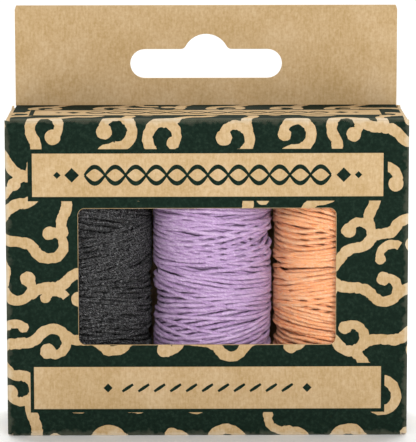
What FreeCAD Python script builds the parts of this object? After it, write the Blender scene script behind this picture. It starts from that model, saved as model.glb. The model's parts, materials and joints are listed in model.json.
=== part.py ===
"""Windowed hang-tab carton holding three spools of waxed linen thread, in millimetres.

Frame: origin at the middle of the footprint, on the surface the carton stands on. +Z is up, the window
faces -Y, the hanging header rises from the back wall and +X is to the viewer's right.

The carton is one folded sheet of paperboard. Every panel between two creases is a node of its own. A
crease that only shapes the sleeve is a bent corner shared by its two panels. A crease that opens is a
hinge: the moving panel carries a round bead on the crease axis, and its neighbour stops just short of it.
"""

import FreeCAD, Part
import math
import os

Vector = FreeCAD.Vector

# Paperboard sleeve
board = 0.46                 # thickness of the folding boxboard
width = 82.0                 # outside, left to right
depth = 27.0                 # outside of the sleeve, front to back
height = 65.5                # outside, over both closed lids
corner_radius = 0.6          # outside radius of the four upright creases

# Hinged creases
bead = 0.30                  # bead radius, and how far the axis lies inside the outer faces
crease_gap = 0.06            # air between a bead and the fixed panel beyond it
crease_relief = 0.2          # how far the room for a bead reaches past the inside of a wall

# Window in the front panel
window_width = 52.5
window_bottom = 19.0
window_top = 47.2
window_corner = 1.4

# Hanging header: the back wall carried upwards, folded over backwards and glued to itself
header_width = 80.4
header_top = 86.4
header_corner = 0.5
slot_width = 32.0
slot_bottom = 71.0
slot_height = 6.15
hook_radius = 4.9            # round notch in the middle of the slot that finds the peg
hook_top = 80.35
hook_fillet = 1.2

# Lids and their tuck lips
lid_half = 39.9
lid_reach = 25.3             # crease axis to the outer face of the tuck lip
lip_length = 7.0
lip_half = 38.6
lip_taper = 1.5              # how much further in each end of the lip's free edge lies
lip_corner = 3.0

# Dust flaps
flap_gap = 0.10              # air between a lid and the dust flaps under it
flap_length = 18.5
flap_front = 0.6             # start of the tapered front edge, behind the lid's crease axis
flap_taper = 0.5             # that edge runs back this far for each millimetre inwards
flap_back = 24.6             # back edge at the root, behind the lid's crease axis
flap_back_taper = 0.03
flap_corner = 2.5

# Glue seam flap, stuck to the inside of the left wall
seam_width = 12.0
seam_end_gap = 1.9
seam_taper = 3.0

# Spools
spool_pitch = 24.9
middle_spool_x = 1.16
middle_spool_y = -0.58
side_spool_y = 0.02
core_radius = 5.5
bore_radius = 4.6
core_length = 61.6
winding_radius = 12.3
winding_length = 55.0
shoulder_radius = 6.0

# Cutting tools
past = 1.0                   # how far a tool runs past the surface it cuts
mitre = 5.0                  # how far the walls' mitre cuts reach inside the sleeve

# Places that follow from the dimensions above
front_y = -(depth + board) / 2
back_y = front_y + depth
side_x = width / 2
axis_y = front_y + bead
middle_z = height / 2
sleeve_top = height - bead
flap_top = height - board - flap_gap


def box(low, high):
    """A solid box between two corners."""
    size = [b - a for a, b in zip(low, high)]
    return Part.makeBox(*size, Vector(*low))


def prism(points, along):
    """A solid swept from a flat polygon."""
    corners = [Vector(*p) for p in points]
    outline = Part.makePolygon(corners + corners[:1])
    return Part.Face(outline).extrude(Vector(*along))


def rounded(solid, radius, direction):
    """Rounds every straight edge that runs along the given direction."""
    picked = []
    for edge in solid.Edges:
        if not isinstance(edge.Curve, (Part.Line, Part.LineSegment)):
            continue
        run = edge.Vertexes[1].Point.sub(edge.Vertexes[0].Point)
        if run.getAngle(direction) < 1e-6 or run.getAngle(direction.negative()) < 1e-6:
            picked.append(edge)
    return solid.makeFillet(radius, picked)


def rod(start, direction, length, radius):
    return Part.makeCylinder(radius, length, Vector(*start), Vector(*direction))


def other_end(solid):
    """The same shape at the bottom of the carton."""
    return solid.mirror(Vector(0, 0, middle_z), Vector(0, 0, 1))


def other_side(solid):
    """The same shape at the right-hand end of the carton."""
    return solid.mirror(Vector(0, 0, 0), Vector(1, 0, 0))


# Sleeve

def sleeve_tube():
    """The four walls in one piece, with bent corners, before the creases are cut."""
    outer = box((-side_x, front_y, 0), (side_x, back_y, sleeve_top))
    inner = box((-side_x + board, front_y + board, -past), (side_x - board, back_y - board, height + past))
    upright = Vector(0, 0, 1)
    tube = rounded(outer, corner_radius, upright)
    tube = tube.cut(rounded(inner, corner_radius - board, upright))
    return tube.cut(crease_notches())


def crease_notches():
    """Room for the beads of the two lids and of the four dust flaps."""
    lid_drop = 2 * bead + crease_gap
    deep = board + crease_relief
    lid_notch = box((-lid_half - crease_gap, front_y - past, height - lid_drop),
                    (lid_half + crease_gap, front_y + deep, height + past))
    flap_drop = height - flap_top + lid_drop
    root_front, root_back = flap_root()
    flap_notch = box((-side_x - past, root_front - crease_gap, height - flap_drop),
                     (-side_x + deep, root_back + crease_gap, height + past))
    cuts = [lid_notch, flap_notch, other_side(flap_notch)]
    cuts += [other_end(cut) for cut in cuts]
    return cuts[0].multiFuse(cuts[1:])


def wall(side):
    """The part of the sleeve between the two mitred corners of one side."""
    x_out, x_in = side_x + past, side_x - mitre
    front_out, front_in = front_y - past, front_y + mitre
    back_out, back_in = back_y + past, back_y - mitre
    corners = {
        "front": [(-x_out, front_out), (x_out, front_out), (x_in, front_in), (-x_in, front_in)],
        "back": [(x_out, back_out), (-x_out, back_out), (-x_in, back_in), (x_in, back_in)],
        "left": [(-x_out, back_out), (-x_out, front_out), (-x_in, front_in), (-x_in, back_in)],
        "right": [(x_out, front_out), (x_out, back_out), (x_in, back_in), (x_in, front_in)],
    }[side]
    wedge = prism([(x, y, -past) for x, y in corners], (0, 0, height + 2 * past))
    return sleeve_tube().common(wedge)


def window_cut():
    opening = box((-window_width / 2, front_y - past, window_bottom),
                  (window_width / 2, front_y + board + past, window_top))
    return rounded(opening, window_corner, Vector(0, 1, 0))


def glue_seam_flap():
    """Hinged on the back wall's left edge and glued inside the left wall, both ends tapered."""
    inner_x = -side_x + board
    inner_y = back_y - board
    low, high = seam_end_gap, height - seam_end_gap
    flap = prism([(inner_x, inner_y, low),
                  (inner_x, inner_y, high),
                  (inner_x, inner_y - seam_width, high - seam_taper),
                  (inner_x, inner_y - seam_width, low + seam_taper)],
                 (board, 0, 0))
    folded = [e for e in flap.Edges if e.BoundBox.XMax < inner_x + 1e-6 and e.BoundBox.YMin > inner_y - 1e-6]
    return flap.makeFillet(corner_radius - board, folded)


# Header

def hang_slot():
    """A wide slot with a round notch in the middle of its upper edge."""
    y0, run = back_y - 2 * board, 4 * board
    end_radius = slot_height / 2
    middle = slot_bottom + end_radius
    offset = slot_width / 2 - end_radius
    slot = box((-offset, y0, slot_bottom), (offset, y0 + run, slot_bottom + slot_height))
    for x in (-offset, offset):
        slot = slot.fuse(rod((x, y0, middle), (0, 1, 0), run, end_radius))
    hook = rod((0, y0, hook_top - hook_radius), (0, 1, 0), run, hook_radius)
    hook = hook.common(box((-hook_radius, y0, middle), (hook_radius, y0 + run, hook_top)))
    return slot.fuse(hook).fuse(hook_fillets(y0, run)).removeSplitter()


def hook_fillets(y0, run):
    """The two concave blends where the notch runs into the slot's upper edge."""
    edge = slot_bottom + slot_height
    centre_z = edge + hook_fillet
    hook_z = hook_top - hook_radius
    centre_x = math.sqrt((hook_radius + hook_fillet) ** 2 - (centre_z - hook_z) ** 2)
    share = hook_radius / (hook_radius + hook_fillet)
    touch_x, touch_z = centre_x * share, hook_z + (centre_z - hook_z) * share
    corner = prism([(0, y0, edge), (centre_x, y0, edge), (centre_x, y0, centre_z), (touch_x, y0, touch_z)],
                   (0, run, 0))
    blend = corner.cut(rod((centre_x, y0, centre_z), (0, 1, 0), run, hook_fillet))
    return blend.fuse(other_side(blend))


def header_ply(inner_y):
    """One thickness of the header, from the top of the sleeve to the fold."""
    half = header_width / 2
    ply = box((-half, inner_y, sleeve_top), (half, inner_y + board, header_top))
    corners = [e for e in ply.Edges if abs(e.BoundBox.ZMin - header_top) < 1e-6
               and e.BoundBox.YLength > board / 2]
    return ply.makeFillet(header_corner, corners).cut(hang_slot())


# Closures

def lid_panel():
    """Closes one end, hinged on the front panel."""
    lip_axis = axis_y + lid_reach - bead
    end = lip_axis - bead - crease_gap
    plate = box((-lid_half, axis_y, height - board), (lid_half, end, height))
    hinge = rod((-lid_half, axis_y, height - bead), (1, 0, 0), 2 * lid_half, bead)
    return plate.fuse(hinge).removeSplitter()


def tuck_lip():
    """Hinged on the lid's back edge, slid down inside the back wall."""
    face_y = axis_y + lid_reach
    axis_z = height - bead
    plate = prism([(-lip_half, face_y, axis_z),
                   (lip_half, face_y, axis_z),
                   (lip_half - lip_taper, face_y, axis_z - lip_length),
                   (-lip_half + lip_taper, face_y, axis_z - lip_length)],
                  (0, -board, 0))
    tips = [e for e in plate.Edges if e.BoundBox.YLength > board / 2 and e.BoundBox.ZMax < axis_z - past]
    plate = plate.makeFillet(lip_corner, tips)
    hinge = rod((-lip_half, face_y - bead, axis_z), (1, 0, 0), 2 * lip_half, bead)
    return plate.fuse(hinge).removeSplitter()


def flap_root():
    """Where a dust flap's crease starts and ends along the side wall."""
    return axis_y + flap_front, axis_y + flap_back


def dust_flap():
    """The left flap: hinged on the side wall, folded in under the lid."""
    root_x = -side_x + bead
    tip_x = root_x + flap_length
    root_front, root_back = flap_root()
    outline = [(root_x, root_front, flap_top),
               (tip_x, root_front + flap_taper * flap_length, flap_top),
               (tip_x, root_back - flap_back_taper * flap_length, flap_top),
               (root_x, root_back, flap_top)]
    plate = prism(outline, (0, 0, -board))
    tips = [e for e in plate.Edges if e.BoundBox.ZLength > board / 2 and e.BoundBox.XMin > tip_x - 1e-3]
    plate = plate.makeFillet(flap_corner, tips)
    hinge = rod((root_x, root_front, flap_top - bead), (0, 1, 0), root_back - root_front, bead)
    return plate.fuse(hinge).removeSplitter()


# Spools

def core_tube(x, y):
    low = (height - core_length) / 2
    outer = rod((x, y, low), (0, 0, 1), core_length, core_radius)
    return outer.cut(rod((x, y, low - past), (0, 0, 1), core_length + 2 * past, bore_radius))


def thread_winding(x, y):
    """The outer shape of the wound thread: a barrel with rounded shoulders, hollow for the core."""
    low = (height - winding_length) / 2
    body = rod((x, y, low), (0, 0, 1), winding_length, winding_radius)
    rims = [e for e in body.Edges if isinstance(e.Curve, Part.Circle)]
    body = body.makeFillet(shoulder_radius, rims)
    return body.cut(rod((x, y, low - past), (0, 0, 1), winding_length + 2 * past, core_radius))


# Every node

def closures():
    top = {
        "top_lid_panel": lid_panel(),
        "top_tuck_lip": tuck_lip(),
        "top_dust_flap_left": dust_flap(),
        "top_dust_flap_right": other_side(dust_flap()),
    }
    bottom = {name.replace("top", "bottom"): other_end(solid) for name, solid in top.items()}
    return {**top, **bottom}


def spools():
    places = {
        "black": (middle_spool_x - spool_pitch, side_spool_y),
        "purple": (middle_spool_x, middle_spool_y),
        "orange": (middle_spool_x + spool_pitch, side_spool_y),
    }
    made = {}
    for colour, (x, y) in places.items():
        made[colour + "_core_tube"] = core_tube(x, y)
        made[colour + "_thread_winding"] = thread_winding(x, y)
    return made


def sleeve():
    return {
        "front_panel": wall("front").cut(window_cut()),
        "left_side_panel": wall("left"),
        "right_side_panel": wall("right"),
        "back_panel": wall("back"),
        "glue_seam_flap": glue_seam_flap(),
        "hang_header_front_ply": header_ply(back_y - board),
        "hang_header_rear_ply": header_ply(back_y),
    }


def main():
    os.makedirs("parts", exist_ok=True)
    nodes = {**sleeve(), **closures(), **spools()}
    for name, shape in nodes.items():
        solid = shape.Solids[0]
        solid.exportStep(f"parts/{name}.step")
        size = solid.BoundBox
        print(f"{name}: {len(shape.Solids)} solid, {solid.Volume:.1f} mm3, valid {solid.isValid()}, "
              f"{size.XLength:.2f} x {size.YLength:.2f} x {size.ZLength:.2f}")


main()
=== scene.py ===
import json
import math

import bmesh
import bpy
import numpy as np
from mathutils import Matrix, Vector, noise
from mathutils.geometry import convex_hull_2d, delaunay_2d_cdt

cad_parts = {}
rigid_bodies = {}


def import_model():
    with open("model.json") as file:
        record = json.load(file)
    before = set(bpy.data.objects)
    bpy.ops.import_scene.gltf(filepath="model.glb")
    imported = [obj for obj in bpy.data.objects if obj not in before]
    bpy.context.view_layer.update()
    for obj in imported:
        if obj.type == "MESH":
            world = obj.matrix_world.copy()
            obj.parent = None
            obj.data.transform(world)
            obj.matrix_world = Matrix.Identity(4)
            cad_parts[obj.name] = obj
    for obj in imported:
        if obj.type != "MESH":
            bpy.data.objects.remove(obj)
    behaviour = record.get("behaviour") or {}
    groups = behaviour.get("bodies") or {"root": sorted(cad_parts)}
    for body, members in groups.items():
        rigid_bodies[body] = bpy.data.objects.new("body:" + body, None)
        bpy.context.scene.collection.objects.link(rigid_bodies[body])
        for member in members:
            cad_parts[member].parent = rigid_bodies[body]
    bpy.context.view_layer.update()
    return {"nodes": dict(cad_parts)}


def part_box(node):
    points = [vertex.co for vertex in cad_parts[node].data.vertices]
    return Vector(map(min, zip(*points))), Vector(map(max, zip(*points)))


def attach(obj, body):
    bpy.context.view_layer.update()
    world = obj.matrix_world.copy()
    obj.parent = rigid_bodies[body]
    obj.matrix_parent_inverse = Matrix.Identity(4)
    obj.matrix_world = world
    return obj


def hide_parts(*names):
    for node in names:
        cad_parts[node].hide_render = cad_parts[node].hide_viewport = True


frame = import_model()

mm = 0.001
quarterTurn = math.pi / 2
print("frame loaded", len(frame["nodes"]), "nodes")


# small tools shared by every piece

def toLinear(hexColour):
    # sRGB hex to linear RGBA
    channels = [int(hexColour[i:i + 2], 16) / 255 for i in (1, 3, 5)]
    return [c / 12.92 if c <= 0.04045 else ((c + 0.055) / 1.055) ** 2.4 for c in channels] + [1.0]


def addNode(tree, kind, settings=None, **links):
    # settings: attribute, input name or input index -> value
    # links: input name, or its index written as _0 -> the output socket that feeds it
    node = tree.nodes.new(kind)
    for key, value in (settings or {}).items():
        if isinstance(key, str) and hasattr(node, key):
            setattr(node, key, value)
        else:
            node.inputs[key].default_value = value
    for key, socket in links.items():
        target = node.inputs[int(key[1:])] if key[0] == "_" else node.inputs[key]
        tree.links.new(socket, target)
    return node


def newMaterial(name, roughness, specular=0.5, sheen=0.0):
    # a material with its shader ready to be linked
    material = bpy.data.materials.new(name)
    material.use_nodes = True
    tree = material.node_tree
    shader = tree.nodes["Principled BSDF"]
    shader.inputs["Roughness"].default_value = roughness
    shader.inputs["Specular IOR Level"].default_value = specular
    shader.inputs["Sheen Weight"].default_value = sheen
    return material, tree, shader


def colourRamp(tree, factor, stops):
    # stops: list of (place, hex colour)
    ramp = addNode(tree, "ShaderNodeValToRGB", Fac=factor)
    elements = ramp.color_ramp.elements
    while len(elements) < len(stops):
        elements.new(0.5)
    for element, (place, colour) in zip(elements, stops):
        element.position = place
        element.color = toLinear(colour)
    return ramp.outputs["Color"]


def mathOf(tree, operation, *values):
    # numbers are set, sockets are linked
    settings = {i: value for i, value in enumerate(values) if isinstance(value, float)}
    links = {f"_{i}": value for i, value in enumerate(values) if not isinstance(value, float)}
    return addNode(tree, "ShaderNodeMath", {"operation": operation, **settings}, **links).outputs[0]


def noiseOf(tree, coords, scale, detail, roughness=0.5, stretch=None):
    # stretch: how many times finer the pattern is along each axis
    if stretch:
        coords = addNode(tree, "ShaderNodeMapping", {"Scale": stretch}, Vector=coords).outputs["Vector"]
    settings = {"Scale": scale, "Detail": detail, "Roughness": roughness}
    return addNode(tree, "ShaderNodeTexNoise", settings, Vector=coords).outputs["Fac"]


def ranged(tree, value, fromMin, fromMax, toMin=0.0, toMax=1.0):
    settings = {"From Min": fromMin, "From Max": fromMax, "To Min": toMin, "To Max": toMax}
    return addNode(tree, "ShaderNodeMapRange", settings, Value=value).outputs[0]


def colourWith(tree, shader, factor, base, hexColour):
    # base colour, mixed towards another where factor says
    mixed = addNode(tree, "ShaderNodeMixRGB", {"Color2": toLinear(hexColour)}, Fac=factor, Color1=base)
    tree.links.new(mixed.outputs["Color"], shader.inputs["Base Color"])


def bumpWith(tree, shader, height, strength, distance):
    bump = addNode(tree, "ShaderNodeBump", {"Strength": strength, "Distance": distance}, Height=height)
    tree.links.new(bump.outputs["Normal"], shader.inputs["Normal"])


def placed(name, data):
    item = bpy.data.objects.new(name, data)
    bpy.context.scene.collection.objects.link(item)
    return item


def finishPiece(name, bm, material, body, replaced=(), sharpAngle=35):
    # hands a bmesh over as a finished piece that rides on a body
    bmesh.ops.remove_doubles(bm, verts=bm.verts[:], dist=1e-7)
    bmesh.ops.recalc_face_normals(bm, faces=bm.faces[:])
    for face in bm.faces:
        face.smooth = True
    for edge in bm.edges:
        if len(edge.link_faces) == 2 and edge.calc_face_angle(0) > math.radians(sharpAngle):
            edge.smooth = False
    mesh = bpy.data.meshes.new(name)
    bm.to_mesh(mesh)
    bm.free()
    mesh.materials.append(material)
    piece = placed(name, mesh)
    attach(piece, body)
    if replaced:
        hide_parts(*replaced)
    print("piece", name, len(mesh.polygons), "faces")
    return piece


# camera: a long lens a little above the lid, almost straight on

cameraSetup = {
    "place": (-3.45, -604.0, 134.87),   # mm
    "pitch": 8.697,                     # degrees down
    "yaw": 0.353,                       # degrees to the right
    "roll": -0.08,
    "lens": 239.2,                      # mm, on a 36 mm sensor
}


def placeCamera(setup):
    data = bpy.data.cameras.new("camera")
    data.lens = setup["lens"]
    data.sensor_width = 36.0
    data.clip_end = 20.0
    camera = placed("camera", data)
    turn = (Matrix.Rotation(math.radians(-setup["yaw"]), 4, "Z")
            @ Matrix.Rotation(math.radians(90 - setup["pitch"]), 4, "X")
            @ Matrix.Rotation(math.radians(setup["roll"]), 4, "Z"))
    camera.matrix_world = Matrix.Translation(Vector(setup["place"]) * mm) @ turn
    bpy.context.scene.camera = camera
    bpy.context.scene.view_settings.view_transform = "Standard"


placeCamera(cameraSetup)


# the board: every size in mm, taken from the frame where a node has it

def boxMm(node):
    low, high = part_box(node)
    return [c / mm for c in low], [c / mm for c in high]


lidHigh = boxMm("top_lid_panel")[1]
lipLow, lipHigh = boxMm("top_tuck_lip")
flapLow, flapHigh = boxMm("top_dust_flap_left")
headerLow, headerHigh = boxMm("hang_header_front_ply")

board = {
    "thickness": 0.46,
    "corner": 0.60,                     # outside radius of the upright folds
    "bead": 0.30,                       # outside radius of the opening folds
    "drop": 0.21,                       # least that an edge draws back from an opening fold
    "wrap": 0.25,                       # how far a lid's round fold runs on under the wall's edge
    "air": 0.025,                       # between an opening fold and the panel beside it
    "sideGap": 0.06,                    # beside the ends of a lid or a dust flap
    "seamGap": 0.1,                     # between the left wall's edge and the back's outer face
    "frontBulge": 0.22,                 # the large walls swell a little over the spools
    "sideBulge": 0.30,
    "cell": 5.0,                        # size of the flat cells that let a wall swell
    "foldSteps": 6,                     # flat strips round an upright corner
    "depths": (-0.05, -0.13, -0.21, -0.3, -0.38),      # cuts through the thickness beside an opening fold
}
carton = {
    "front": boxMm("front_panel")[0][1],
    "back": boxMm("back_panel")[1][1],
    "left": boxMm("left_side_panel")[0][0],
    "right": boxMm("right_side_panel")[1][0],
    "top": lidHigh[2],
    "hinge": lidHigh[2] - board["bead"],            # height of the lid's fold axis
    "flapHinge": flapHigh[2] - board["bead"],
    "lidHalf": lidHigh[0],
}
window = {"left": -26.25, "right": 26.25, "bottom": 19.0, "top": 47.2, "corner": 1.4}
titleLabel = {"left": -35.5, "right": 35.8, "bottom": 49.6, "top": 58.45, "margin": 0.9}
lowerLabel = {"left": -35.5, "right": 35.6, "bottom": 5.6, "top": 14.4, "margin": 0.75}
lidLabel = {"left": -35.5, "right": 35.8, "bottom": 6.8, "top": 15.6, "margin": 0.9}   # back from the fold
backLabel = {"left": -24.0, "right": 24.0, "bottom": 22.0, "top": 43.5, "margin": 0.9}


def rectangle(left, bottom, right, top):
    return [(left, bottom), (right, bottom), (right, top), (left, top)]


def arcPoints(x, y, radius, start, end, count, first=0):
    angles = [start + (end - start) * i / count for i in range(first, count + 1)]
    return [(x + radius * math.cos(angle), y + radius * math.sin(angle)) for angle in angles]


def roundedRectangle(left, bottom, right, top, radius, count=6):
    corners = [(right - radius, bottom + radius), (right - radius, top - radius),
               (left + radius, top - radius), (left + radius, bottom + radius)]
    return [point for turn, (x, y) in enumerate(corners)
            for point in arcPoints(x, y, radius, (turn - 1) * quarterTurn, turn * quarterTurn, count)]


def facingUp(polygon):
    # counter-clockwise, whichever way round it was drawn
    doubled = sum(a[0] * b[1] - b[0] * a[1] for a, b in zip(polygon, polygon[1:] + polygon[:1]))
    return polygon if doubled > 0 else polygon[::-1]


def layFlat(shapes, keep):
    # shapes: tag -> polygons lying over each other on the flat sheet; keep(tags) picks the cells that stay
    points, faces, tags = [], [], []
    for tag, polygons in shapes.items():
        for polygon in polygons:
            if len(polygon) == 4:
                polygon = [polygon[i] for i in convex_hull_2d(polygon)]
            polygon = facingUp(polygon)
            faces.append(list(range(len(points), len(points) + len(polygon))))
            points.extend(Vector(point) for point in polygon)
            tags.append(tag)
    verts, _, cells, _, _, sources = delaunay_2d_cdt(points, [], faces, 1, 1e-4)
    bm = bmesh.new()
    made = [bm.verts.new((v.x, v.y, 0)) for v in verts]
    for cell, source in zip(cells, sources):
        if keep({tags[i] for i in source}):
            bm.faces.new([made[i] for i in cell])
    loose = [v for v in bm.verts if not v.link_faces]
    bmesh.ops.delete(bm, geom=loose, context="VERTS")
    return bm


def cutAcross(bm, axis, places):
    # cuts the sheet along straight lines, so that it can bend there
    normal = [0, 0, 0]
    normal[axis] = 1
    for place in places:
        point = [0, 0, 0]
        point[axis] = place
        everything = bm.verts[:] + bm.edges[:] + bm.faces[:]
        bmesh.ops.bisect_plane(bm, geom=everything, dist=1e-6, plane_co=point, plane_no=normal)


def thicken(bm, low, high):
    # the flat sheet becomes a slab from low to high
    bmesh.ops.translate(bm, verts=bm.verts[:], vec=(0, 0, low))
    grown = bmesh.ops.extrude_face_region(bm, geom=bm.faces[:], use_keep_orig=True)
    fresh = [item for item in grown["geom"] if isinstance(item, bmesh.types.BMVert)]
    bmesh.ops.translate(bm, verts=fresh, vec=(0, 0, high - low))


def bendSheet(bm, place):
    # moves every point of the flat sheet to where folding puts it; place works in mm
    for vert in bm.verts:
        vert.co = Vector(place(*vert.co)) * mm


def steps(low, high, size):
    count = max(1, round((high - low) / size))
    return [low + (high - low) * i / count for i in range(1, count)]


# the sleeve's route round the carton, seen from above, along the outside of the board

def sleeveRoute():
    radius = board["corner"]
    inset = board["thickness"]
    left, right, front, back = carton["left"], carton["right"], carton["front"], carton["back"]
    seamFront = boxMm("glue_seam_flap")[0][1]
    return [
        ("left", (left, back - board["seamGap"]), (left, front + radius)),
        ("fold", (left + radius, front + radius), (-1, 0), (0, -1)),
        ("front", (left + radius, front), (right - radius, front)),
        ("fold", (right - radius, front + radius), (0, -1), (1, 0)),
        ("right", (right, front + radius), (right, back - radius)),
        ("fold", (right - radius, back - radius), (1, 0), (0, 1)),
        ("back", (right - radius, back), (left + inset + radius, back)),
        ("fold", (left + inset + radius, back - radius), (0, 1), (-1, 0)),
        ("seam", (left + inset, back - radius), (left + inset, seamFront)),
    ]


def measureRoute(route):
    # start of each stretch along the girth
    quarter = quarterTurn * board["corner"]
    start, stretches = 0.0, []
    for kind, *geometry in route:
        length = quarter if kind == "fold" else math.dist(*geometry)
        stretches.append((kind, start, start + length, geometry))
        start += length
    return stretches


sleeve = measureRoute(sleeveRoute())
girth = {kind: (start, end) for kind, start, end, _ in sleeve if kind != "fold"}
frontStart = girth["front"][0] - (carton["left"] + board["corner"])     # girth of x = 0 on the front
backStart = girth["back"][0] + carton["right"] - board["corner"]        # girth of x = 0 on the back
bulges = {"front": board["frontBulge"], "back": board["frontBulge"], "left": board["sideBulge"],
          "right": board["sideBulge"], "seam": 0.0}


def onSleeve(u, v, w):
    # u runs round the girth, v is the height and w stands out of the board
    for kind, start, end, geometry in sleeve:
        if u <= end or kind == "seam":
            break
    if kind == "fold":
        centre, first, last = geometry
        angle = (u - start) / (end - start) * quarterTurn
        normal = [f * math.cos(angle) + l * math.sin(angle) for f, l in zip(first, last)]
        reach = board["corner"] + w
        return centre[0] + normal[0] * reach, centre[1] + normal[1] * reach, v
    a, b = geometry
    share = (u - start) / (end - start)
    along = ((b[0] - a[0]) / (end - start), (b[1] - a[1]) / (end - start))
    normal = (along[1], -along[0])
    across, upward = min(max(share, 0), 1), min(max(v / carton["top"], 0), 1)
    swell = bulges[kind] * abs(math.sin(math.pi * across)) ** 0.8 * math.sin(math.pi * upward)
    x, y = [a[i] + (b[i] - a[i]) * share + normal[i] * (w + swell) for i in (0, 1)]
    return x, y, v


def foldCuts():
    # where the sleeve is cut so that it can bend round its upright corners
    cuts = []
    for kind, start, end, _ in sleeve:
        pieces = board["foldSteps"] if kind == "fold" else max(1, round((end - start) / board["cell"]))
        cuts += [start + (end - start) * i / pieces for i in range(pieces + 1)]
    return sorted(set(cuts))[1:-1]


def overFold(axis, along, start, end):
    # a panel that folds through a right angle: a runs along the fold, b away from it, w out of the board
    axis, along, start, end = Vector(axis), Vector(along), Vector(start), Vector(end)
    radius = board["bead"]
    arc = radius * quarterTurn

    def place(a, b, w):
        if b < arc - 1e-4:
            angle = b / radius
            normal = start * math.cos(angle) + end * math.sin(angle)
            return axis + along * a + normal * (radius + max(w, -radius))
        return axis + along * a + end * (radius + w) - start * (b - arc)

    return place


def hollowEdge(w):
    # how far a panel's edge draws back at depth w, to leave room for the round fold beside it
    reach = board["bead"] + board["air"]
    return math.sqrt(max(reach ** 2 - (w + board["bead"]) ** 2, board["drop"] ** 2))


# printed ornament: scrolling vines, laid out on the flat sheet

scroll = {
    "spacing": 12.4,                    # mm between neighbouring curls
    "ring": 3.3,                        # radius of a curl's middle line
    "stroke": 1.04,                     # half width
    "bulb": 1.5,                        # radius of the round end
    "overrun": 0.5,                     # radians a stem bends past the straight tangent at both ends
    "stray": 1.2,                       # how far a curl sits off its even place
    "ragged": 0.17,                     # roughness of the printed edge
    "step": 0.5,
    "seed": 11,
}


def ribbon(points, halfWidths):
    # a stroke as a strip of four-cornered cells
    sides = []
    for i, (x, y) in enumerate(points):
        before, after = points[max(i - 1, 0)], points[min(i + 1, len(points) - 1)]
        dx, dy = after[0] - before[0], after[1] - before[1]
        length = math.hypot(dx, dy) or 1.0
        half = halfWidths[i]
        sides.append(((x - dy / length * half, y + dx / length * half),
                      (x + dy / length * half, y - dx / length * half)))
    return [[a[0], a[1], b[1], b[0]] for a, b in zip(sides, sides[1:])]


def roughened(points, halfWidths):
    # a printed stroke wanders and swells a little
    ragged = scroll["ragged"]
    moved, widths = [], []
    for (x, y), half in zip(points, halfWidths):
        spot = Vector((x * 1.1, y * 1.1, 0))
        moved.append((x + ragged * noise.noise(spot), y + ragged * noise.noise(spot + Vector((31, 7, 3)))))
        widths.append(half + 1.3 * ragged * noise.noise(spot * 1.3 + Vector((5, 53, 9))))
    return ribbon(moved, widths)


def disc(x, y, radius, sides=18):
    points = []
    for i in range(sides):
        angle = 2 * math.pi * i / sides
        spot = Vector((x + 3 * math.cos(angle), y + 3 * math.sin(angle), 2))
        reach = radius + 1.2 * scroll["ragged"] * noise.noise(spot)
        points.append((x + reach * math.cos(angle), y + reach * math.sin(angle)))
    return points


def curlPlaces(left, bottom, right, top, rng):
    # staggered rows, each curl a little off its even place
    places = []
    rowGap = scroll["spacing"] * math.sqrt(3) / 2
    for row in range(int((top - bottom) / rowGap) + 2):
        shift = scroll["spacing"] / 2 * (row % 2)
        for column in range(int((right - left) / scroll["spacing"]) + 2):
            x = left + shift + column * scroll["spacing"] + rng.uniform(-1, 1) * scroll["stray"]
            y = bottom + row * rowGap + rng.uniform(-1, 1) * scroll["stray"]
            ring = scroll["ring"] * rng.uniform(0.86, 1.1)
            places.append({"x": x, "y": y, "ring": ring, "inner": rng.uniform(1.7, 2.2),
                           "turn": math.radians(rng.uniform(225, 295)), "bulb": rng.uniform(0.85, 1.12)})
    return places


def growVines(places, rng):
    # each curl grows out of a neighbour that turns the other way, along the line that touches both
    for seedIndex in rng.permutation(len(places)):
        if "side" in places[seedIndex]:
            continue
        places[seedIndex].update(side=1 if rng.random() < 0.5 else -1, entry=rng.uniform(0, 2 * math.pi),
                                 parent=None)
        waiting = [places[seedIndex]]
        while waiting:
            parent = waiting.pop(0)
            near = [c for c in places if "side" not in c
                    and math.dist((c["x"], c["y"]), (parent["x"], parent["y"])) < 1.25 * scroll["spacing"]]
            for child in near:
                gap = math.dist((child["x"], child["y"]), (parent["x"], parent["y"]))
                heading = math.atan2(child["y"] - parent["y"], child["x"] - parent["x"])
                lean = math.acos(min((parent["ring"] + child["ring"]) / gap, 1))
                leave = heading - parent["side"] * lean
                travelled = (parent["side"] * (leave - parent["entry"])) % (2 * math.pi)
                if math.radians(15) < travelled < math.radians(175) and rng.random() < 0.9:
                    entry = leave + math.pi + parent["side"] * scroll["overrun"]
                    child.update(side=-parent["side"], entry=entry, parent=(parent, leave))
                    waiting.append(child)


def curlLine(curl):
    # round the ring, then in towards the bulb
    count = max(12, int(curl["turn"] * curl["ring"] * 0.8 / scroll["step"]))
    points, widths = [], []
    for i in range(count + 1):
        share = i / count
        travel = share * curl["turn"]
        inward = max(0.0, (travel - math.radians(90)) / (curl["turn"] - math.radians(90)))
        radius = curl["ring"] + (curl["inner"] - curl["ring"]) * inward ** 1.15
        angle = curl["entry"] + curl["side"] * travel
        points.append((curl["x"] + radius * math.cos(angle), curl["y"] + radius * math.sin(angle)))
        widths.append(scroll["stroke"] * (1.08 - 0.22 * share))
    return points, widths


def onRing(curl, angle):
    # a point of the ring and the way its stroke runs there
    spot = Vector((curl["x"] + curl["ring"] * math.cos(angle), curl["y"] + curl["ring"] * math.sin(angle)))
    return spot, curl["side"] * Vector((-math.sin(angle), math.cos(angle)))


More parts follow.
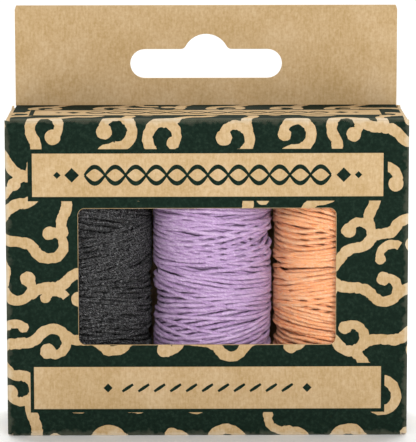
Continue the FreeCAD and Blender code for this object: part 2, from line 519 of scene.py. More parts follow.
def sweepingLink(parent, leave, child):
    # an S-shaped stem from the parent's ring to the start of the child's
    start, startWay = onRing(parent, leave + parent["side"] * scroll["overrun"])
    end, endWay = onRing(child, child["entry"])
    reach = (end - start).length
    count = max(4, int(1.15 * reach / scroll["step"]))
    pull = 1.25 * reach
    points = []
    for i in range(count + 1):
        t = i / count
        spot = (start * (2 * t ** 3 - 3 * t ** 2 + 1) + startWay * pull * (t ** 3 - 2 * t ** 2 + t)
                + end * (3 * t ** 2 - 2 * t ** 3) + endWay * pull * (t ** 3 - t ** 2))
        points.append(tuple(spot))
    return points


def tendril(curl, travel, rng):
    # a small hook that leaves the outside of a ring and turns away from it
    angle = curl["entry"] + curl["side"] * travel
    x, y = curl["x"] + curl["ring"] * math.cos(angle), curl["y"] + curl["ring"] * math.sin(angle)
    heading = angle + curl["side"] * quarterTurn
    bend = rng.uniform(2.3, 3.0)
    points = [(x, y)]
    for i in range(int(bend * math.radians(rng.uniform(120, 165)) / scroll["step"])):
        heading -= curl["side"] * scroll["step"] / bend
        x += scroll["step"] * math.cos(heading)
        y += scroll["step"] * math.sin(heading)
        points.append((x, y))
    return points


def scrollPrint(left, bottom, right, top):
    # every stroke of the vines between the given limits, as small cells
    rng = np.random.default_rng(scroll["seed"])
    places = curlPlaces(left, bottom, right, top, rng)
    growVines(places, rng)
    cells = []
    for curl in places:
        points, widths = curlLine(curl)
        cells += roughened(points, widths)
        cells.append(disc(*points[-1], scroll["bulb"] * curl["bulb"]))
        if curl["parent"]:
            parent, leave = curl["parent"]
            link = sweepingLink(parent, leave, curl)
            cells += roughened(link, [scroll["stroke"] * 1.06] * len(link))
            cells += [disc(*link[0], scroll["stroke"]), disc(*link[-1], scroll["stroke"])]
        else:
            cells.append(disc(*points[0], scroll["bulb"] * 0.85))
        if rng.random() < 0.12:
            hook = tendril(curl, math.radians(rng.uniform(190, 300)), rng)
            cells += roughened(hook, [scroll["stroke"] * 0.85] * len(hook))
            cells.append(disc(*hook[-1], scroll["bulb"] * 0.72))
    print("vines laid out", len(places), "curls", len(cells), "cells")
    return cells


# label ornament in place of words: a twisted cord and a running stitch

def twistedCord(centreX, centreY, length, height, turns):
    cells = []
    for side in (1, -1):
        points, widths = [], []
        count = turns * 16
        for i in range(count + 1):
            phase = math.pi * turns * i / count
            x = centreX - length / 2 + length * i / count
            points.append((x, centreY + side * height / 2 * math.sin(phase)))
            widths.append(0.22 + 0.24 * abs(math.sin(phase)))
        cells += ribbon(points, widths)
    return cells


def lozenge(x, y, halfWide, halfHigh):
    return [(x - halfWide, y), (x, y - halfHigh), (x + halfWide, y), (x, y + halfHigh)]


def runningStitch(centreX, centreY, length, count, slant, thickness):
    pitch = length / count
    cells = []
    for i in range(count):
        x = centreX - length / 2 + (i + 0.5) * pitch
        reach = pitch * 0.34
        low, high = (x - reach, centreY - slant), (x + reach, centreY + slant)
        half = thickness / 2
        cells += ribbon([low, ((low[0] + high[0]) / 2, centreY), high], [half * 0.7, half, half * 0.7])
    return cells


def titleOrnament(centreX, centreY):
    cells = twistedCord(centreX, centreY, 50.0, 3.4, 12)
    for side in (-1, 1):
        cells.append(lozenge(centreX + side * 27.6, centreY, 1.5, 1.5))
        cells.append(lozenge(centreX + side * 30.6, centreY, 0.75, 0.75))
    return cells


def lowerOrnament(centreX, centreY):
    cells = runningStitch(centreX, centreY, 36.0, 11, slant=0.75, thickness=0.7)
    for side in (-1, 1):
        cells.append(lozenge(centreX + side * 20.4, centreY, 0.95, 0.95))
    return cells


def backOrnament(centreX, centreY):
    cells = []
    for offset in (-6.5, 6.5):
        cells += runningStitch(centreX, centreY + offset, 40.0, 14, slant=0.0, thickness=0.55)
    return cells + twistedCord(centreX, centreY, 28.0, 3.2, 7)


def inkStays(tags):
    if "panel" not in tags or "window" in tags:
        return False
    if "label" in tags:
        return "ornament" in tags
    return "margin" in tags or "scroll" not in tags


def grown(label, amount):
    left, right = label["left"] - amount, label["right"] + amount
    return rectangle(left, label["bottom"] - amount, right, label["top"] + amount)


def middleOf(label):
    return (label["left"] + label["right"]) / 2, (label["bottom"] + label["top"]) / 2


def movedAcross(polygon, shift):
    return [(x + shift, y) for x, y in polygon]


inkLayer = {"low": -0.004, "high": 0.006}       # mm above the board's face


# materials

folds = {
    "reach": 0.0011,                    # metres that the wear and the painted highlight spread from a fold
    "patch": 700.0,                     # how patchy it is
}


def foldWearAndHighlight(tree, coords):
    # 1 where the board is creased at the front folds and corners, fading out in patches: rubbed wear there,
    # and a painted highlight along the folds
    middle = carton["top"] * mm / 2
    front, side = carton["front"] * mm, carton["right"] * mm
    split = addNode(tree, "ShaderNodeSeparateXYZ", Vector=coords)
    x = mathOf(tree, "ABSOLUTE", split.outputs["X"])
    y = split.outputs["Y"]
    z = mathOf(tree, "ABSOLUTE", mathOf(tree, "SUBTRACT", split.outputs["Z"], middle))
    gaps = []
    edges = ((y, z, (front, middle, 0)), (x, y, (side, front, 0)), (x, z, (side, middle, 0)))
    for first, second, place in edges:
        spot = addNode(tree, "ShaderNodeCombineXYZ", _0=first, _1=second)
        gap = addNode(tree, "ShaderNodeVectorMath", {"operation": "DISTANCE", 1: place}, _0=spot.outputs[0])
        gaps.append(gap.outputs["Value"])
    near = mathOf(tree, "MINIMUM", mathOf(tree, "MINIMUM", gaps[0], gaps[1]), gaps[2])
    patches = noiseOf(tree, coords, folds["patch"], 3.0)
    broken = ranged(tree, patches, 0.3, 0.7, 0.3, 1.6)
    return ranged(tree, mathOf(tree, "DIVIDE", near, broken), folds["reach"], 0.0)


def kraftBoard(name, lightHex, midHex, darkHex):
    # unbleached kraft paperboard: matte warm tan with fine mottled fibres, paler where it is creased, from
    # rubbed wear and a painted highlight
    material, tree, shader = newMaterial(name, 0.85, 0.15)
    coords = addNode(tree, "ShaderNodeTexCoord").outputs["Object"]
    grain = noiseOf(tree, coords, 1700.0, 4.0, 0.7)
    fibres = noiseOf(tree, coords, 1.0, 2.0, stretch=(2600, 2600, 600))
    cloud = noiseOf(tree, coords, 130.0, 3.0)
    fine = mathOf(tree, "MULTIPLY_ADD", fibres, 0.55, grain)
    mottle = mathOf(tree, "MULTIPLY_ADD", cloud, 0.6, fine)
    shade = ranged(tree, mottle, 0.82, 1.33)
    tan = colourRamp(tree, shade, [(0.0, darkHex), (0.5, midHex), (1.0, lightHex)])
    # paler along the folds: partly rubbed wear, partly painted highlight
    wearAndHighlight = mathOf(tree, "MULTIPLY", foldWearAndHighlight(tree, coords), 0.6)
    colourWith(tree, shader, wearAndHighlight, tan, "#D4C9B4")
    bumpWith(tree, shader, mottle, 0.25, 0.00004)
    return material


def printingInk(name):
    # dark green offset ink on uncoated board: matte with a faint haze, greyer along the folds, partly
    # rubbed and partly a painted highlight
    material, tree, shader = newMaterial(name, 0.8, 0.08)
    coords = addNode(tree, "ShaderNodeTexCoord").outputs["Object"]
    mottle = noiseOf(tree, coords, 1500.0, 4.0, 0.65)
    green = colourRamp(tree, mottle, [(0.3, "#0B1A12"), (0.52, "#112219"), (0.8, "#25362B")])
    # greyer along the folds: partly rubbed wear, partly painted highlight
    wearAndHighlight = mathOf(tree, "MULTIPLY", foldWearAndHighlight(tree, coords), 0.2)
    colourWith(tree, shader, wearAndHighlight, green, "#999580")
    bumpWith(tree, shader, mottle, 0.2, 0.00004)
    return material


def waxedLinen(name, look):
    # waxed linen cord: twisted plies, streaky dye, a soft waxy gloss, and pale flecks along the strand that
    # are partly wax and partly painted highlight glints
    dark, mid, light, waxAndGlintHex = look["colours"]
    material, tree, shader = newMaterial(name, 0.5, look["specular"], look["specular"] / 3)
    strand = addNode(tree, "ShaderNodeAttribute", {"attribute_name": "strand"}).outputs["Vector"]
    streaks = noiseOf(tree, strand, 1.0, 4.0, 0.65, stretch=(0.45, 3.0, 1.0))
    slow = noiseOf(tree, strand, 1.0, 2.0, stretch=(0.03, 0.3, 1.0))
    tone = ranged(tree, mathOf(tree, "MULTIPLY_ADD", slow, 0.6, streaks), 0.5, 1.1)
    dyed = colourRamp(tree, tone, [(0.0, dark), (0.5, mid), (1.0, light)])
    # pale flecks: partly wax, partly painted highlight glints on the strand
    waxAndGlintFlecks = noiseOf(tree, strand, 1.3, 2.0, stretch=(1.5, 6.0, 1.0))
    waxAndGlintMask = ranged(tree, waxAndGlintFlecks, look["waxAndGlintFlecks"], look["waxAndGlintFlecks"] + 0.14, 0.0, 0.75)
    colourWith(tree, shader, waxAndGlintMask, dyed, waxAndGlintHex)
    plyMap = addNode(tree, "ShaderNodeMapping", {"Scale": (2.2, 3.0, 0.0)}, Vector=strand)
    waves = {"Scale": 0.32, "Distortion": 1.5, "Detail": 2.0, "bands_direction": "DIAGONAL"}
    plies = addNode(tree, "ShaderNodeTexWave", waves, Vector=plyMap.outputs["Vector"])
    bumpWith(tree, shader, mathOf(tree, "ADD", plies.outputs["Fac"], streaks), 0.6, 0.0001)
    return material


kraft = kraftBoard("kraft_board", "#C4AA86", "#B99D74", "#AC8F62")
tubeKraft = kraftBoard("core_tube_kraft", "#B79E79", "#A78B63", "#937751")
ink = printingInk("dark_green_ink")


# the sleeve: four walls and the glue seam, one folded sheet

seam = {"root": 1.2, "tip": 4.6}                # mm from the carton's ends to the glue flap's
windowRim = 0.07                                # mm of bare board round the window's cut edge


def openingSpans():
    # where the lids and the dust flaps lie along the girth
    reach = carton["lidHalf"] + board["sideGap"]
    rootFront, rootBack = flapLow[1] - board["sideGap"], flapHigh[1] + board["sideGap"]
    leftEdge = carton["back"] - board["seamGap"]
    rightEdge = carton["front"] + board["corner"]
    return {
        "lid": (frontStart - reach, frontStart + reach),
        "leftFlap": (girth["left"][0] + leftEdge - rootBack, girth["left"][0] + leftEdge - rootFront),
        "rightFlap": (girth["right"][0] + rootFront - rightEdge, girth["right"][0] + rootBack - rightEdge),
    }


openings = openingSpans()
seamFold = girth["seam"][0] - quarterTurn * board["corner"]


def notchedSheet(extra, keep):
    # the flat blank, cut lower where the dust flaps hinge
    low, high = carton["top"] - carton["hinge"], carton["hinge"]
    sheet = {"panel": [rectangle(sleeve[0][1], low, seamFold, high)], "notch": []}
    for left, right in (openings["leftFlap"], openings["rightFlap"]):
        sheet["notch"].append(rectangle(left, carton["flapHinge"], right, high + 1))
        sheet["notch"].append(rectangle(left, -1, right, carton["top"] - carton["flapHinge"]))
    sheet.update(extra)
    return layFlat(sheet, keep)


def besideFolds(u, v, w):
    # the edges beside an opening fold draw back with depth
    inside = {name: start <= u <= end for name, (start, end) in openings.items()}
    if any(inside.values()):
        axis = carton["hinge"] if inside["lid"] else carton["flapHinge"]
        limit = axis - hollowEdge(min(w, 0.0))
        v = min(max(v, carton["top"] - limit), limit)
    return onSleeve(u, v, w)


def foldSleeve(bm, low, high):
    inset = 2 * board["bead"]
    cutAcross(bm, 0, foldCuts() + list(openings["lid"]))
    cutAcross(bm, 1, steps(inset, carton["top"] - inset, board["cell"]))
    thicken(bm, low, high)
    cutAcross(bm, 2, board["depths"])
    bendSheet(bm, besideFolds)


def windowHole(rim):
    outline = roundedRectangle(window["left"] - rim, window["bottom"] - rim, window["right"] + rim,
                               window["top"] + rim, window["corner"] + rim)
    return movedAcross(outline, frontStart)


def buildSleeve():
    seamEnd, top = girth["seam"][1], carton["top"]
    seamFlap = [(seamFold, seam["root"]), (seamEnd, seam["tip"]),
                (seamEnd, top - seam["tip"]), (seamFold, top - seam["root"])]
    bm = notchedSheet({"seam": [seamFlap], "window": [windowHole(0.0)]},
                      lambda tags: ("panel" in tags or "seam" in tags) and not tags & {"window", "notch"})
    foldSleeve(bm, -board["thickness"], 0.0)
    finishPiece("folded_sleeve", bm, kraft, "sleeve",
                ["front_panel", "left_side_panel", "right_side_panel", "back_panel", "glue_seam_flap"])


def buildSleevePrint(vines):
    shapes = {"scroll": vines, "label": [], "margin": [], "ornament": [], "window": [windowHole(windowRim)]}
    for label, shift, ornament in ((titleLabel, frontStart, titleOrnament),
                                   (lowerLabel, frontStart, lowerOrnament),
                                   (backLabel, backStart, backOrnament)):
        shapes["label"].append(movedAcross(grown(label, 0.0), shift))
        shapes["margin"].append(movedAcross(grown(label, label["margin"]), shift))
        x, y = middleOf(label)
        shapes["ornament"] += ornament(x + shift, y)
    bm = notchedSheet(shapes, lambda tags: inkStays(tags) and "notch" not in tags)
    foldSleeve(bm, inkLayer["low"], inkLayer["high"])
    finishPiece("sleeve_print", bm, ink, "sleeve")


# the lids, their tuck lips and the dust flaps, at both ends

def closureEnds():
    # the bottom is the top turned over about the middle of the height
    hinge, flapHinge = carton["hinge"], carton["flapHinge"]
    return [("top", 1, hinge, flapHinge), ("bottom", -1, carton["top"] - hinge, carton["top"] - flapHinge)]


closures = {
    "lidCorner": 0.5,
    "lipTaper": 1.5,                    # mm that each end of a lip's free edge lies further in
    "lipCorner": 3.0,
    "flapTaper": 0.5,                   # mm that a dust flap's front edge runs back for each mm inwards
    "flapBackTaper": 0.03,
    "flapCorner": 2.2,
    # mm back from a dust flap's front corner and mm in from its free edge
    "flapTip": [(-0.9, 1.9), (-0.1, 0.8), (1.0, 0.15), (2.2, 0.0)],
    "arcSteps": 5,                      # flat strips round an opening fold
    "spare": 2.0,                       # mm of print kept beyond a lid's edges while it is laid out
}


def foldPlaces(arc, first=1):
    # where a panel is cut so that it can bend round its opening fold
    return [arc * i / closures["arcSteps"] for i in range(first, closures["arcSteps"] + 1)]


def buildLid(end, up, hingeZ, vines):
    half, bead = carton["lidHalf"], board["bead"]
    arc = bead * quarterTurn
    depth = lipHigh[1] - bead - (carton["front"] + bead) + arc
    place = overFold((0, carton["front"] + bead, hingeZ), (1, 0, 0), (0, -1, 0), (0, 0, up))
    outline = roundedRectangle(-half, -1.0, half, depth, closures["lidCorner"], 3)
    sheet = {"panel": [outline], "front": [rectangle(-half - 1, -2, half + 1, -board["wrap"])]}

    def toLip(a, b, w):
        return place(a, min(b, depth - hollowEdge(min(w, 0.0))), w)

    def foldLid(name, bm, low, high, material, replaced=()):
        cutAcross(bm, 0, steps(-half, half, board["cell"]))
        cutAcross(bm, 1, foldPlaces(arc, -2) + steps(arc, depth, board["cell"]))
        thicken(bm, low, high)
        cutAcross(bm, 2, board["depths"])
        bendSheet(bm, toLip)
        finishPiece(name, bm, material, f"{end}_lid", replaced)

    bm = layFlat(sheet, lambda tags: tags == {"panel"})
    foldLid(f"{end}_lid_board", bm, -board["thickness"], 0.0, kraft, [f"{end}_lid_panel"])

    # the print runs on from the front wall over the fold
    spare = closures["spare"]
    fold = carton["hinge"] if up > 0 else carton["top"] - carton["hinge"]
    inked = [[(x - frontStart, up * (y - fold)) for x, y in cell] for cell in vines]
    sheet["scroll"] = [cell for cell in inked
                       if any(-spare < y < depth + spare and abs(x) < half + spare for x, y in cell)]
    if end == "top":
        sheet["label"] = [grown(lidLabel, 0.0)]
        sheet["margin"] = [grown(lidLabel, lidLabel["margin"])]
        sheet["ornament"] = titleOrnament(*middleOf(lidLabel))
    bm = layFlat(sheet, lambda tags: inkStays(tags) and "front" not in tags)
    foldLid(f"{end}_lid_print", bm, inkLayer["low"], inkLayer["high"], ink)


def foldFlat(outline, arc, place):
    # a plain panel, bent round its opening fold
    bm = layFlat({"panel": [outline]}, lambda tags: True)
    cutAcross(bm, 1, foldPlaces(arc))
    thicken(bm, -board["thickness"], 0.0)
    bendSheet(bm, place)
    return bm


def buildLip(end, up, hingeZ):
    bead, corner = board["bead"], closures["lipCorner"]
    arc = bead * quarterTurn
    half = lipHigh[0]
    length = lipHigh[2] - lipLow[2] - bead + arc
    outline = [(-half, 0), (half, 0)]
    for side, start in ((1, 0), (-1, quarterTurn)):
        x = side * (half - closures["lipTaper"] - corner)
        outline += arcPoints(x, length - corner, corner, start, start + quarterTurn, 6)
    place = overFold((0, lipHigh[1] - bead, hingeZ), (1, 0, 0), (0, 0, up), (0, 1, 0))
    finishPiece(f"{end}_lip_board", foldFlat(outline, arc, place), kraft, f"{end}_lip",
                [f"{end}_tuck_lip"])


def buildFlap(end, up, hingeZ, side):
    # outline in mm along the fold and away from it
    bead, corner = board["bead"], closures["flapCorner"]
    arc = bead * quarterTurn
    reach = flapHigh[0] - flapLow[0] - bead + arc
    front, back = flapLow[1], flapHigh[1]
    tipFront, tipBack = front + closures["flapTaper"] * reach, back - closures["flapBackTaper"] * reach
    outline = [(back, 0), (front, 0)]
    outline += [(tipFront + along, reach - inward) for along, inward in closures["flapTip"]]
    outline += arcPoints(tipBack - corner, reach - corner, corner, quarterTurn, 0, 5)
    axis = (side * (carton["right"] - bead), 0, hingeZ)
    bm = foldFlat(outline, arc, overFold(axis, (0, 1, 0), (side, 0, 0), (0, 0, up)))
    name = "left" if side < 0 else "right"
    finishPiece(f"{end}_flap_{name}_board", bm, kraft, f"{end}_flap_{name}",
                [f"{end}_dust_flap_{name}"])


# the hanging header: the back wall's board, folded over at the top and glued to itself

header = {
    "slotWide": 32.0,
    "slotLow": 71.0,
    "slotHigh": 77.15,
    "notchRadius": 4.9,                 # the peg's round notch over the slot
    "notchTop": 80.35,
    "blend": 1.2,                       # radius where the notch runs into the slot
    "nick": 0.35,                       # the ends of the top fold draw in this far
    "nickReach": 1.2,
}


def slotOutline():
    # right half first, then mirrored
    end = (header["slotHigh"] - header["slotLow"]) / 2
    notchZ = header["notchTop"] - header["notchRadius"]
    blendZ = header["slotHigh"] + header["blend"]
    reach = header["notchRadius"] + header["blend"]
    blendX = math.sqrt(reach ** 2 - (blendZ - notchZ) ** 2)
    touch = math.atan2(blendZ - notchZ, blendX)
    x, z = header["slotWide"] / 2 - end, header["slotLow"] + end
    half = arcPoints(x, z, end, -quarterTurn, quarterTurn, 12)
    half += arcPoints(blendX, blendZ, header["blend"], -quarterTurn, touch - math.pi, 5)
    half += arcPoints(0, notchZ, header["notchRadius"], touch, quarterTurn, 8, first=1)
    return half + [(-x, z) for x, z in reversed(half[:-1])]


def buildHeader():
    thickness = board["thickness"]
    low, high = headerLow[2], headerHigh[2]
    rise = high - thickness - low                   # straight part of the front ply
    arc = math.pi * thickness
    half = headerHigh[0]
    front = headerLow[1]
    total = 2 * rise + arc
    slot = [(x, z - low) for x, z in slotOutline()]
    back = [(x, total - z) for x, z in slot]
    middle, nickReach = rise + arc / 2, header["nickReach"]
    edge = [(half, 0), (half, middle - nickReach), (half - header["nick"], middle),
            (half, middle + nickReach), (half, total)]
    outline = edge + [(-x, z) for x, z in reversed(edge)]
    bm = layFlat({"panel": [outline], "slot": [slot, back]}, lambda tags: tags == {"panel"})
    cutAcross(bm, 1, [rise + arc * i / 10 for i in range(11)])
    thicken(bm, -thickness, 0.0)

    def place(a, b, w):
        if b <= rise:
            return a, front - w, low + b
        if b >= rise + arc:
            return a, front + 2 * thickness + w, high - thickness - (b - rise - arc)
        angle = (b - rise) / thickness
        radius = thickness + w
        return a, front + thickness - radius * math.cos(angle), high - thickness + radius * math.sin(angle)

    bendSheet(bm, place)
    finishPiece("folded_header", bm, kraft, "sleeve",
                ["hang_header_front_ply", "hang_header_rear_ply"])


vines = scrollPrint(-8, -34, sleeve[-1][2] + 6, 100)
buildSleeve()
buildSleevePrint(vines)
for endName, up, hingeZ, flapZ in closureEnds():
    buildLid(endName, up, hingeZ, vines)
    buildLip(endName, up, hingeZ)
    for side in (-1, 1):
        buildFlap(endName, up, flapZ, side)
buildHeader()


# the spools: thread wound turn by turn on a kraft tube

winding = {
    "length": 18288.0,                  # mm of thread, twenty yards
    "strand": 0.47,                     # radius of the thread
    "lay": 2.3,                         # mm along the thread for half a twist of its plies
    "outerTurns": 100,                  # turns laid one by one over the even layers of the stock
    "turnSteps": 120,
    "stockSteps": 40,
    "stock": 10.65,                     # radius of the stock
    "layers": 5,
    "shoulder": 6.0,                    # rounding at both ends of the winding
    "cell": 0.12,                       # mm of the surface map, along the axis
    "search": 6,                        # cells looked over for a valley, each way
    "pull": 0.2,                        # what a step sideways costs
    "return": 0.3,                      # what being off the own path costs, as a share of that
    "follow": (0.25, 0.5),              # share of the way to a valley, and the most cells, in one step
    "slope": 0.35,                      # steepest climb over a strand below
    "ahead": 5,                         # steps known ahead of the one being laid
    "squash": 0.75,                     # how much of its height a strand keeps under the next
    "band": (6.0, 9.5),                 # mm, the width of a band of parallel turns
    "pitch": (1.08, 1.22),              # mm per turn inside a band
    "travel": 5.0,                      # mm per turn on the way to the next band
    "far": 16.0,                        # mm, how far away the next band may lie
    "places": 61,                       # heights compared when the next band is chosen
    "whim": 0.14,                       # how loosely the lowest place is picked
    "tilt": (1.4, 3.8),                 # mm that a turn leans, alternately both ways
    "swing": 0.8,                       # radians that the leaning side wanders from band to band
    "ease": 0.02,                       # how quickly a lean changes from step to step
    "slip": 1.1,                        # mm that a strand may slide off its own path
    "sink": 1.2,                        # mm that the stock's ends lie under the finished ends
    "span": 25,                         # cells averaged to compare places
    "crest": 100,                       # cells each way from the middle that give the winding's radius
    "level": 11.5,                      # above this radius the heights are evened out
    "even": 0.65,
    "limit": 12.36,                     # outermost radius
    "tuck": 30,                         # last steps, where the end goes under
    "tuckDepth": 1.2,
    "smoothing": (9, 7),                # steps that heights and radii are averaged over
    "stockSides": 5,
    "outerSides": 8,
    "flatness": 0.88,                   # a waxed strand is pressed a little flat
    "strandScale": 6.0,                 # what half a turn round the strand counts for in its streaks
    "girth": (1.05, 0.11),              # thickness of the strand against its radius, and how much it varies
}
# the last colour of each look is for its pale flecks, partly wax and partly painted highlight glints
spoolLooks = {
    "black": {"seed": 21, "waxAndGlintFlecks": 0.54, "specular": 0.06,
              "colours": ("#010101", "#060606", "#232322", "#C8C8CA")},
    "purple": {"seed": 34, "waxAndGlintFlecks": 0.54, "specular": 0.25,
               "colours": ("#8A6198", "#BE99C9", "#DDC3E3", "#FBF3FC")},
    "orange": {"seed": 55, "waxAndGlintFlecks": 0.54, "specular": 0.25,
               "colours": ("#FF9448", "#FFB279", "#FFD2A8", "#FFF2E2")},
}


def shoulderReach(radius, half, rim):
    # how far along the axis a layer of this radius may run
    shoulder = winding["shoulder"]
    rise = max(radius - (rim - shoulder), 0)
    return half - shoulder + math.sqrt(max(shoulder ** 2 - rise ** 2, 0))


def layOuterTurns(seed, half, rim):
    # lays bands of parallel turns on a map of the surface; returns the height and radius of each step
    rng = np.random.default_rng(seed)
    strand, cell, perTurn = winding["strand"], winding["cell"], winding["turnSteps"]
    reach, search, ahead = int(strand / cell), winding["search"], winding["ahead"]
    offsets = np.arange(-reach, reach + 1) * cell
    cap = np.sqrt(strand ** 2 - offsets ** 2)
    side = np.arange(-search, search + 1) * cell
    bins = int(2 * half / cell) + 2 * (reach + search) + 12
    middle = bins // 2
    along = (np.arange(bins) - middle) * cell
    shoulder = winding["shoulder"]
    over = np.clip(np.abs(along) - (half - shoulder), 0, shoulder)
    rounded = rim - shoulder + np.sqrt(shoulder ** 2 - over ** 2) - winding["sink"]
    surface = np.tile(np.minimum(winding["stock"], rounded), (perTurn, 1))
    windows = np.lib.stride_tricks.sliding_window_view
    spread, slip, (share, most) = winding["span"], winding["slip"], winding["follow"]
    stepAngle = 2 * math.pi / perTurn
    heights, raws, radii, ends = [], [], [], []
    z = target = 1 - half
    speed, tilt, tiltGoal, lean, phase, phaseGoal = 1.0, 0.0, 0.0, 1, quarterTurn, quarterTurn
    drift, laying = 0.0, True
    for step in range(winding["outerTurns"] * perTurn + ahead):
        if step % perTurn == 0:
            level = np.convolve(surface.mean(axis=0), np.ones(spread) / spread, mode="same")
            crest = float(np.median(level[middle - winding["crest"]:middle + winding["crest"]]))
            bound = shoulderReach(crest + strand, half, rim) - strand
        if (target - z) * speed <= 0 and laying:
            spots = np.linspace(-bound, bound, winding["places"])
            spots = spots[np.abs(spots - z) < winding["far"]]
            levels = level[middle + (spots / cell).astype(int)]
            centre = float(spots[int(np.argmin(levels + rng.normal(0, winding["whim"], len(spots))))])
            wide = rng.uniform(*winding["band"]) / 2
            ends = np.clip([centre - wide, centre + wide], -bound, bound)
            ends = sorted(ends, key=lambda end: abs(end - z))
            target = ends[0]
            speed = math.copysign(winding["travel"], target - z)
            lean = -lean
            tiltGoal = lean * rng.uniform(*winding["tilt"])
            phaseGoal = quarterTurn + rng.uniform(-winding["swing"], winding["swing"])
            laying = False
        elif (target - z) * speed <= 0:
            target = ends[1]
            speed = math.copysign(rng.uniform(*winding["pitch"]), target - z)
            laying = True
        z += speed / perTurn
        tilt += (tiltGoal - tilt) * winding["ease"]
        phase += (phaseGoal - phase) * winding["ease"]
        aim = min(max(z + tilt * math.sin(step * stepAngle + phase), -bound), bound)
        index = middle + int(round((aim + drift) / cell))
        span = surface[step % perTurn][index - reach - search:index + reach + search + 1]
        supports = (windows(span, 2 * reach + 1) + cap).max(axis=1)
        cost = supports + winding["pull"] * (side ** 2 + winding["return"] * (side + drift) ** 2)
        valley = (int(np.argmin(cost)) - search) * share
        drift = min(max(drift + min(max(valley, -most), most) * cell, -slip), slip)
        heights.append(aim + drift)
        raws.append(float(supports[search]))
        done = step - ahead
        if done < 0:
            continue
        climb = crest * stepAngle * winding["slope"]
        top = max(raws[j] - abs(j - done) * climb for j in range(max(done - ahead, 0), step + 1))
        radii.append(top)
        index = middle + int(round(heights[done] / cell))
        part = surface[done % perTurn][index - reach:index + reach + 1]
        np.maximum(part, top + cap * winding["squash"] - strand * (1 - winding["squash"]), out=part)
    return np.array(heights[:len(radii)]), np.array(radii)


def layStock(coreRadius, half, rim, length):
    # even layers, up and down the tube, whose pitch uses up the given length
    strand = winding["strand"]
    layers = np.linspace(coreRadius + strand, winding["stock"] - strand, winding["layers"])
    spans = [shoulderReach(radius, half, rim) - strand for radius in layers]
    pitch = sum(2 * span * 2 * math.pi * radius for span, radius in zip(spans, layers)) / length
    heights, radii = [], []
    for i, (radius, span) in enumerate(zip(layers, spans)):
        count = int(2 * span / pitch * winding["stockSteps"])
        way = -1 if i % 2 == 0 else 1
        heights.append(np.linspace(-way * span, way * span, count, endpoint=False))
        radii.append(np.full(count, radius))
    return np.concatenate(heights), np.concatenate(radii)


def aroundAxis(angles, heights, radii, centre):
    x, y = centre[0] + radii * np.cos(angles), centre[1] + radii * np.sin(angles)
    return np.stack([x, y, centre[2] + heights], axis=1)


def pathLength(points):
    gaps = np.linalg.norm(np.diff(points, axis=0), axis=1)
    return np.concatenate([[0], np.cumsum(gaps)])


def smoothed(values, width):
    kernel = np.hanning(width + 2)[1:-1]
    kernel /= kernel.sum()
    padded = np.pad(values, width // 2, mode="edge")
    return np.convolve(padded, kernel, mode="valid")[:len(values)]


def strandProfile(name, sides, flatness):
    # the oval section that a strand is swept with
    radius = winding["strand"] * mm
    curve = bpy.data.curves.new(name, "CURVE")
    spline = curve.splines.new("POLY")
    spline.points.add(sides - 1)
    for i, point in enumerate(spline.points):
        angle = 2 * math.pi * i / sides
        point.co = (math.cos(angle) * radius, math.sin(angle) * flatness * radius, 0, 1)
    spline.use_cyclic_u = True
    return bpy.data.objects.new(name, curve)


def sweepStrand(name, points, sizes, tilts, sides, flatness, material, colour):
    # a strand along points in mm; its strand attribute holds the mm along it and the way round it
    curve = bpy.data.curves.new(name, "CURVE")
    curve.dimensions = "3D"
    curve.twist_mode = "Z_UP"
    profile = strandProfile(name + "_section", sides, flatness)
    curve.bevel_mode = "OBJECT"
    curve.bevel_object = profile
    curve.use_fill_caps = True
    spline = curve.splines.new("POLY")
    spline.points.add(len(points) - 1)
    spline.points.foreach_set("co", np.hstack([points * mm, np.ones((len(points), 1))]).ravel())
    spline.points.foreach_set("radius", sizes)
    spline.points.foreach_set("tilt", tilts)
    carrier = placed(name + "_path", curve)
    bpy.context.view_layer.update()
    evaluated = carrier.evaluated_get(bpy.context.evaluated_depsgraph_get())
    mesh = bpy.data.meshes.new_from_object(evaluated)
    mesh.name = name
    count = len(mesh.vertices)
    rings = np.minimum(np.arange(count) // sides, len(points) - 1)
    around = np.abs((np.arange(count) % sides) / sides - 0.5) * winding["strandScale"]
    strandData = np.stack([pathLength(points)[rings], around, np.zeros(count)], axis=1)
    attribute = mesh.attributes.new("strand", "FLOAT_VECTOR", "POINT")
    attribute.data.foreach_set("vector", strandData.ravel())
    mesh.polygons.foreach_set("use_smooth", [True] * len(mesh.polygons))
    mesh.materials.clear()
    mesh.materials.append(material)
    piece = placed(name, mesh)
    bpy.data.objects.remove(carrier)
    bpy.data.objects.remove(profile)
    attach(piece, f"{colour}_spool")
    print("piece", name, len(mesh.polygons), "faces")
    return piece


def evenedOut(heights, radii, half):
    # softens the tallest turns and keeps the strand inside the winding's rounded ends
    level, shoulder = winding["level"], winding["shoulder"]
    heightSpan, radiusSpan = winding["smoothing"]
    radii = smoothed(np.where(radii > level, level + (radii - level) * winding["even"], radii), radiusSpan)
    over = np.clip(np.abs(heights) + winding["strand"] - (half - shoulder), 0, shoulder)
    rounding = shoulder - np.sqrt(shoulder ** 2 - over ** 2)
    radii = np.minimum(radii, winding["limit"] - winding["strand"] - rounding)
    radii[-winding["tuck"]:] -= np.linspace(0, winding["tuckDepth"], winding["tuck"])
    return smoothed(heights, heightSpan), radii


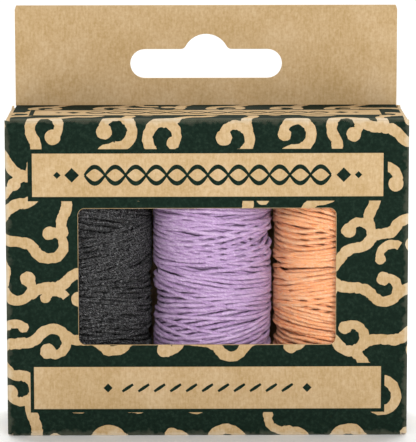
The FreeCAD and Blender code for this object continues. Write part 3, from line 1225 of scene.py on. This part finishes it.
def buildSpool(colour, look):
    low, high = boxMm(f"{colour}_thread_winding")
    tubeLow, tubeHigh = boxMm(f"{colour}_core_tube")
    centre = [(a + b) / 2 for a, b in zip(low, high)]
    half = (high[2] - low[2]) / 2
    rim = (high[0] - low[0]) / 2
    coreRadius = (tubeHigh[0] - tubeLow[0]) / 2
    heights, radii = evenedOut(*layOuterTurns(look["seed"], half, rim), half)
    outer = aroundAxis(np.arange(len(radii)) * 2 * math.pi / winding["turnSteps"], heights, radii, centre)
    outerLengths = pathLength(outer)
    stockHeights, stockRadii = layStock(coreRadius, half, rim, winding["length"] - outerLengths[-1])
    stockAngles = (np.arange(len(stockRadii)) - len(stockRadii)) * 2 * math.pi / winding["stockSteps"]
    stock = aroundAxis(stockAngles, stockHeights, stockRadii, centre)
    print(colour, "thread", round(pathLength(stock)[-1] + outerLengths[-1]), "mm, outer radius",
          round(float(radii.max()) + winding["strand"], 2))

    material = waxedLinen(f"{colour}_waxed_linen", look)
    rng = np.random.default_rng(look["seed"] + 1)
    sweepStrand(f"{colour}_thread_inner_turns", stock, np.ones(len(stock)), np.zeros(len(stock)),
                winding["stockSides"], 1.0, material, colour)
    mean, spread = winding["girth"]
    sizes = mean + spread * smoothed(rng.normal(0, 1, len(outer)), winding["smoothing"][1])
    tilts = outerLengths / winding["lay"] * math.pi
    piece = sweepStrand(f"{colour}_thread_outer_turns", outer, sizes, tilts,
                        winding["outerSides"], winding["flatness"], material, colour)
    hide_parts(f"{colour}_thread_winding")
    buildTube(colour, centre[0], centre[1], tubeLow[2], tubeHigh[2], coreRadius)


tube = {
    "wall": 0.9,
    "plies": 3,
    "chamfer": 0.08,
    "sides": 72,
    "stagger": 0.10,                    # mm that every second ply ends further in
    "inset": 0.02,                      # mm that the outermost end lies inside the tube's length
    "gap": 0.03,                        # half the gap between two plies
    "groove": 0.06,                     # how deep that gap is
}


def buildTube(colour, x, y, low, high, radius):
    # a wound kraft tube whose plies end a hair apart
    bm = bmesh.new()
    ply = tube["wall"] / tube["plies"]
    profile = []
    for end, height in ((1, high), (-1, low)):
        run = []
        for i in range(tube["plies"]):
            outside, inside = radius - i * ply, radius - (i + 1) * ply
            level = height - end * (tube["stagger"] * (i % 2) + tube["inset"])
            if i == 0:
                run.append((outside, level - end * tube["chamfer"]))
            run += [(outside - tube["gap"], level), (inside + tube["gap"], level)]
            depth = tube["groove"] if i < tube["plies"] - 1 else tube["chamfer"]
            run.append((inside, level - end * depth))
        profile += run if end > 0 else run[::-1]
    verts = [bm.verts.new((r, 0, z)) for r, z in profile]
    edges = [bm.edges.new((a, b)) for a, b in zip(verts, verts[1:] + verts[:1])]
    bmesh.ops.spin(bm, geom=verts + edges, cent=(0, 0, 0), axis=(0, 0, 1), angle=2 * math.pi,
                   steps=tube["sides"], use_merge=True)
    bmesh.ops.translate(bm, verts=bm.verts[:], vec=(x, y, 0))
    bmesh.ops.scale(bm, verts=bm.verts[:], vec=(mm, mm, mm))
    finishPiece(f"{colour}_wound_core", bm, tubeKraft, f"{colour}_spool",
                [f"{colour}_core_tube"], sharpAngle=30)


for colour, look in spoolLooks.items():
    buildSpool(colour, look)


# studio: a pale sweep of floor and soft light from above and both sides

studio = {
    "floor": "#F4F4F2",
    "world": 0.36,
    "lamps": [                          # place in mm, size in mm, watts
        {"name": "key", "at": (-130, -640, 330), "size": 330, "power": 0.95},
        {"name": "fill", "at": (200, -620, 260), "size": 330, "power": 2.2},
    ],
    "sun": {"from": (0, 520, 900), "strength": 3.2, "angle": 50},      # lights the floor evenly from behind
}


def addLight(name, kind, at, aim, energy):
    data = bpy.data.lights.new(name, kind)
    data.energy = energy
    turn = (Vector(aim) - Vector(at)).to_track_quat("-Z", "Y").to_matrix().to_4x4()
    placed(name, data).matrix_world = Matrix.Translation(Vector(at) * mm) @ turn
    return data


def buildStudio():
    floorMaterial, tree, shader = newMaterial("studio_floor", 0.9, 0.1)
    shader.inputs["Base Color"].default_value = toLinear(studio["floor"])
    bm = bmesh.new()
    bmesh.ops.create_grid(bm, x_segments=1, y_segments=1, size=6.0)
    mesh = bpy.data.meshes.new("floor")
    bm.to_mesh(mesh)
    bm.free()
    mesh.materials.append(floorMaterial)
    floor = placed("floor", mesh)
    for lamp in studio["lamps"]:
        data = addLight(lamp["name"], "AREA", lamp["at"], (0, 0, 40), lamp["power"])
        data.shape = "DISK"
        data.size = lamp["size"] * mm
    sun = studio["sun"]
    addLight("sun", "SUN", sun["from"], (0, 0, 0), sun["strength"]).angle = math.radians(sun["angle"])
    world = bpy.data.worlds.new("studio")
    bpy.context.scene.world = world
    world.use_nodes = True
    background = world.node_tree.nodes["Background"]
    background.inputs["Color"].default_value = (1, 1, 1, 1)
    background.inputs["Strength"].default_value = studio["world"]


buildStudio()
print("studio ready")
